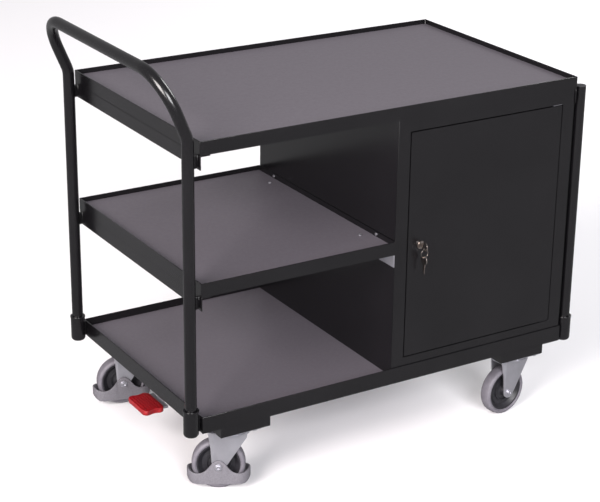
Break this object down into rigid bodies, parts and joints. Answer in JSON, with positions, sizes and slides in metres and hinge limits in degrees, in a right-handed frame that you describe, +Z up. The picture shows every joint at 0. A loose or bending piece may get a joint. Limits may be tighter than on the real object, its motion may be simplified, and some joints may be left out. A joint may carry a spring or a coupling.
{
  "type": "tool cart",
  "caption": "Workshop cart with stacked board decks, a lockable side cabinet under the top deck, a bent-tube push handle, swivel casters with foot guards and a central pedal brake.",
  "frame": {"origin": "on the floor, under the middle of the whole cart's footprint", "axes": "+X runs along the decks from the handle to the cabinet end, +Y from the door side to the back, +Z up"},
  "size_m": [1.1444, 0.657, 1.0289],
  "materials": {
    "powder_black": "black powder coat, semi-gloss",
    "deck_board": "grey laminated board, matt",
    "zinc_steel": "bright zinc plate",
    "nickel": "nickel plate",
    "tyre_grey": "grey non-marking rubber, satin",
    "hub_black": "black moulded plastic",
    "cap_black": "black moulded plastic, satin",
    "guard_grey": "grey moulded plastic, fine texture",
    "pedal_red": "red moulded plastic, ribbed"
  },
  "bodies": {
    "trolley_frame": {"handle_bow": "powder_black", "end_posts": "powder_black", "post_caps": "cap_black", "corner_sockets": "powder_black", "base_frame": "powder_black", "base_board": "deck_board", "handle_end_channel": "powder_black", "cabinet_end_channel": "powder_black", "middle_frame": "powder_black", "middle_board": "deck_board", "top_frame": "powder_black", "top_board": "deck_board", "top_cross_bars": "powder_black", "middle_cross_bar": "powder_black", "shelf_rail": "powder_black", "cabinet_left_wall": "powder_black", "cabinet_right_wall": "powder_black", "cabinet_back": "powder_black", "cabinet_roof": "powder_black", "cabinet_floor": "powder_black", "cabinet_front_frame": "powder_black", "cabinet_shelf": "powder_black", "shelf_pins": "zinc_steel", "door_pivots": "zinc_steel", "deck_screws": "zinc_steel", "caster_plates": "zinc_steel", "caster_kingpins": "zinc_steel", "caster_fasteners": "zinc_steel", "brake_bearings": "hub_black"},
    "door": {"door_panel": "powder_black", "lock_barrel": "nickel", "lock_nut": "zinc_steel"},
    "lock": {"lock_plug": "nickel", "lock_cam": "zinc_steel", "lock_key": "nickel"},
    "ring": {"key_ring": "nickel"},
    "second_key": {"spare_key": "nickel"},
    "pedal": {"brake_shaft": "zinc_steel", "brake_arm": "zinc_steel", "brake_tread": "pedal_red"},
    "plunger_front": {"brake_plunger_front": "zinc_steel"},
    "plunger_back": {"brake_plunger_back": "zinc_steel"},
    "swivel_handle_front": {"fork_handle_front": "zinc_steel", "axle_handle_front": "zinc_steel", "foot_guard_handle_front": "guard_grey"},
    "wheel_handle_front": {"hub_handle_front": "hub_black", "tyre_handle_front": "tyre_grey"},
    "swivel_handle_back": {"fork_handle_back": "zinc_steel", "axle_handle_back": "zinc_steel", "foot_guard_handle_back": "guard_grey"},
    "wheel_handle_back": {"hub_handle_back": "hub_black", "tyre_handle_back": "tyre_grey"},
    "swivel_cabinet_front": {"fork_cabinet_front": "zinc_steel", "axle_cabinet_front": "zinc_steel"},
    "wheel_cabinet_front": {"hub_cabinet_front": "hub_black", "tyre_cabinet_front": "tyre_grey"},
    "swivel_cabinet_back": {"fork_cabinet_back": "zinc_steel", "axle_cabinet_back": "zinc_steel"},
    "wheel_cabinet_back": {"hub_cabinet_back": "hub_black", "tyre_cabinet_back": "tyre_grey"}
  },
  "joints": [
    {"name": "door_hinge", "type": "hinge", "parent": "trolley_frame", "child": "door", "pos_m": [0.48122, -0.28952, 0.52725], "axis": [0, 0, 1], "range_deg": [0, 110]},
    {"name": "lock_turn", "type": "hinge", "parent": "door", "child": "lock", "pos_m": [0.09622, -0.29852, 0.528], "axis": [0, 1, 0], "range_deg": [0, 90]},
    {"name": "ring_swing", "type": "hinge", "parent": "lock", "child": "ring", "pos_m": [0.09622, -0.31753, 0.5211], "axis": [1, 0, 0], "range_deg": [-85, 6]},
    {"name": "second_key_swing", "type": "hinge", "parent": "ring", "child": "second_key", "pos_m": [0.09622, -0.31753, 0.5021], "axis": [1, 0, 0], "range_deg": [-45, 8]},
    {"name": "pedal_hinge", "type": "hinge", "parent": "trolley_frame", "child": "pedal", "pos_m": [-0.35628, 0.01098, 0.18], "axis": [0, -1, 0], "range_deg": [0, 15]},
    {"name": "plunger_front_slide", "type": "slide", "parent": "trolley_frame", "child": "plunger_front", "axis": [0, 0, -1], "range_m": [0, 0.0031]},
    {"name": "plunger_back_slide", "type": "slide", "parent": "trolley_frame", "child": "plunger_back", "axis": [0, 0, -1], "range_m": [0, 0.0031]},
    {"name": "swivel_handle_front_turn", "type": "hinge", "parent": "trolley_frame", "child": "swivel_handle_front", "pos_m": [-0.36828, -0.24552, 0.1512], "axis": [0, 0, 1], "continuous": true},
    {"name": "wheel_handle_front_roll", "type": "hinge", "parent": "swivel_handle_front", "child": "wheel_handle_front", "pos_m": [-0.39859, -0.22803, 0.0625], "axis": [0.5, 0.866, 0], "continuous": true},
    {"name": "swivel_handle_back_turn", "type": "hinge", "parent": "trolley_frame", "child": "swivel_handle_back", "pos_m": [-0.36828, 0.26748, 0.1512], "axis": [0, 0, 1], "continuous": true},
    {"name": "wheel_handle_back_roll", "type": "hinge", "parent": "swivel_handle_back", "child": "wheel_handle_back", "pos_m": [-0.40224, 0.27594, 0.0625], "axis": [0.2419, 0.9703, 0], "continuous": true},
    {"name": "swivel_cabinet_front_turn", "type": "hinge", "parent": "trolley_frame", "child": "swivel_cabinet_front", "pos_m": [0.43572, -0.24552, 0.1512], "axis": [0, 0, 1], "continuous": true},
    {"name": "wheel_cabinet_front_roll", "type": "hinge", "parent": "swivel_cabinet_front", "child": "wheel_cabinet_front", "pos_m": [0.40098, -0.24979, 0.0625], "axis": [-0.1219, 0.9925, 0], "continuous": true},
    {"name": "swivel_cabinet_back_turn", "type": "hinge", "parent": "trolley_frame", "child": "swivel_cabinet_back", "pos_m": [0.43572, 0.26748, 0.1512], "axis": [0, 0, 1], "continuous": true},
    {"name": "wheel_cabinet_back_roll", "type": "hinge", "parent": "swivel_cabinet_back", "child": "wheel_cabinet_back", "pos_m": [0.40106, 0.27235, 0.0625], "axis": [0.1392, 0.9903, 0], "continuous": true}
  ],
  "couplings": [
    {"joint": "plunger_front_slide", "follows": "pedal_hinge", "m_per_rad": 0.0118},
    {"joint": "plunger_back_slide", "follows": "pedal_hinge", "m_per_rad": 0.0118}
  ]
}
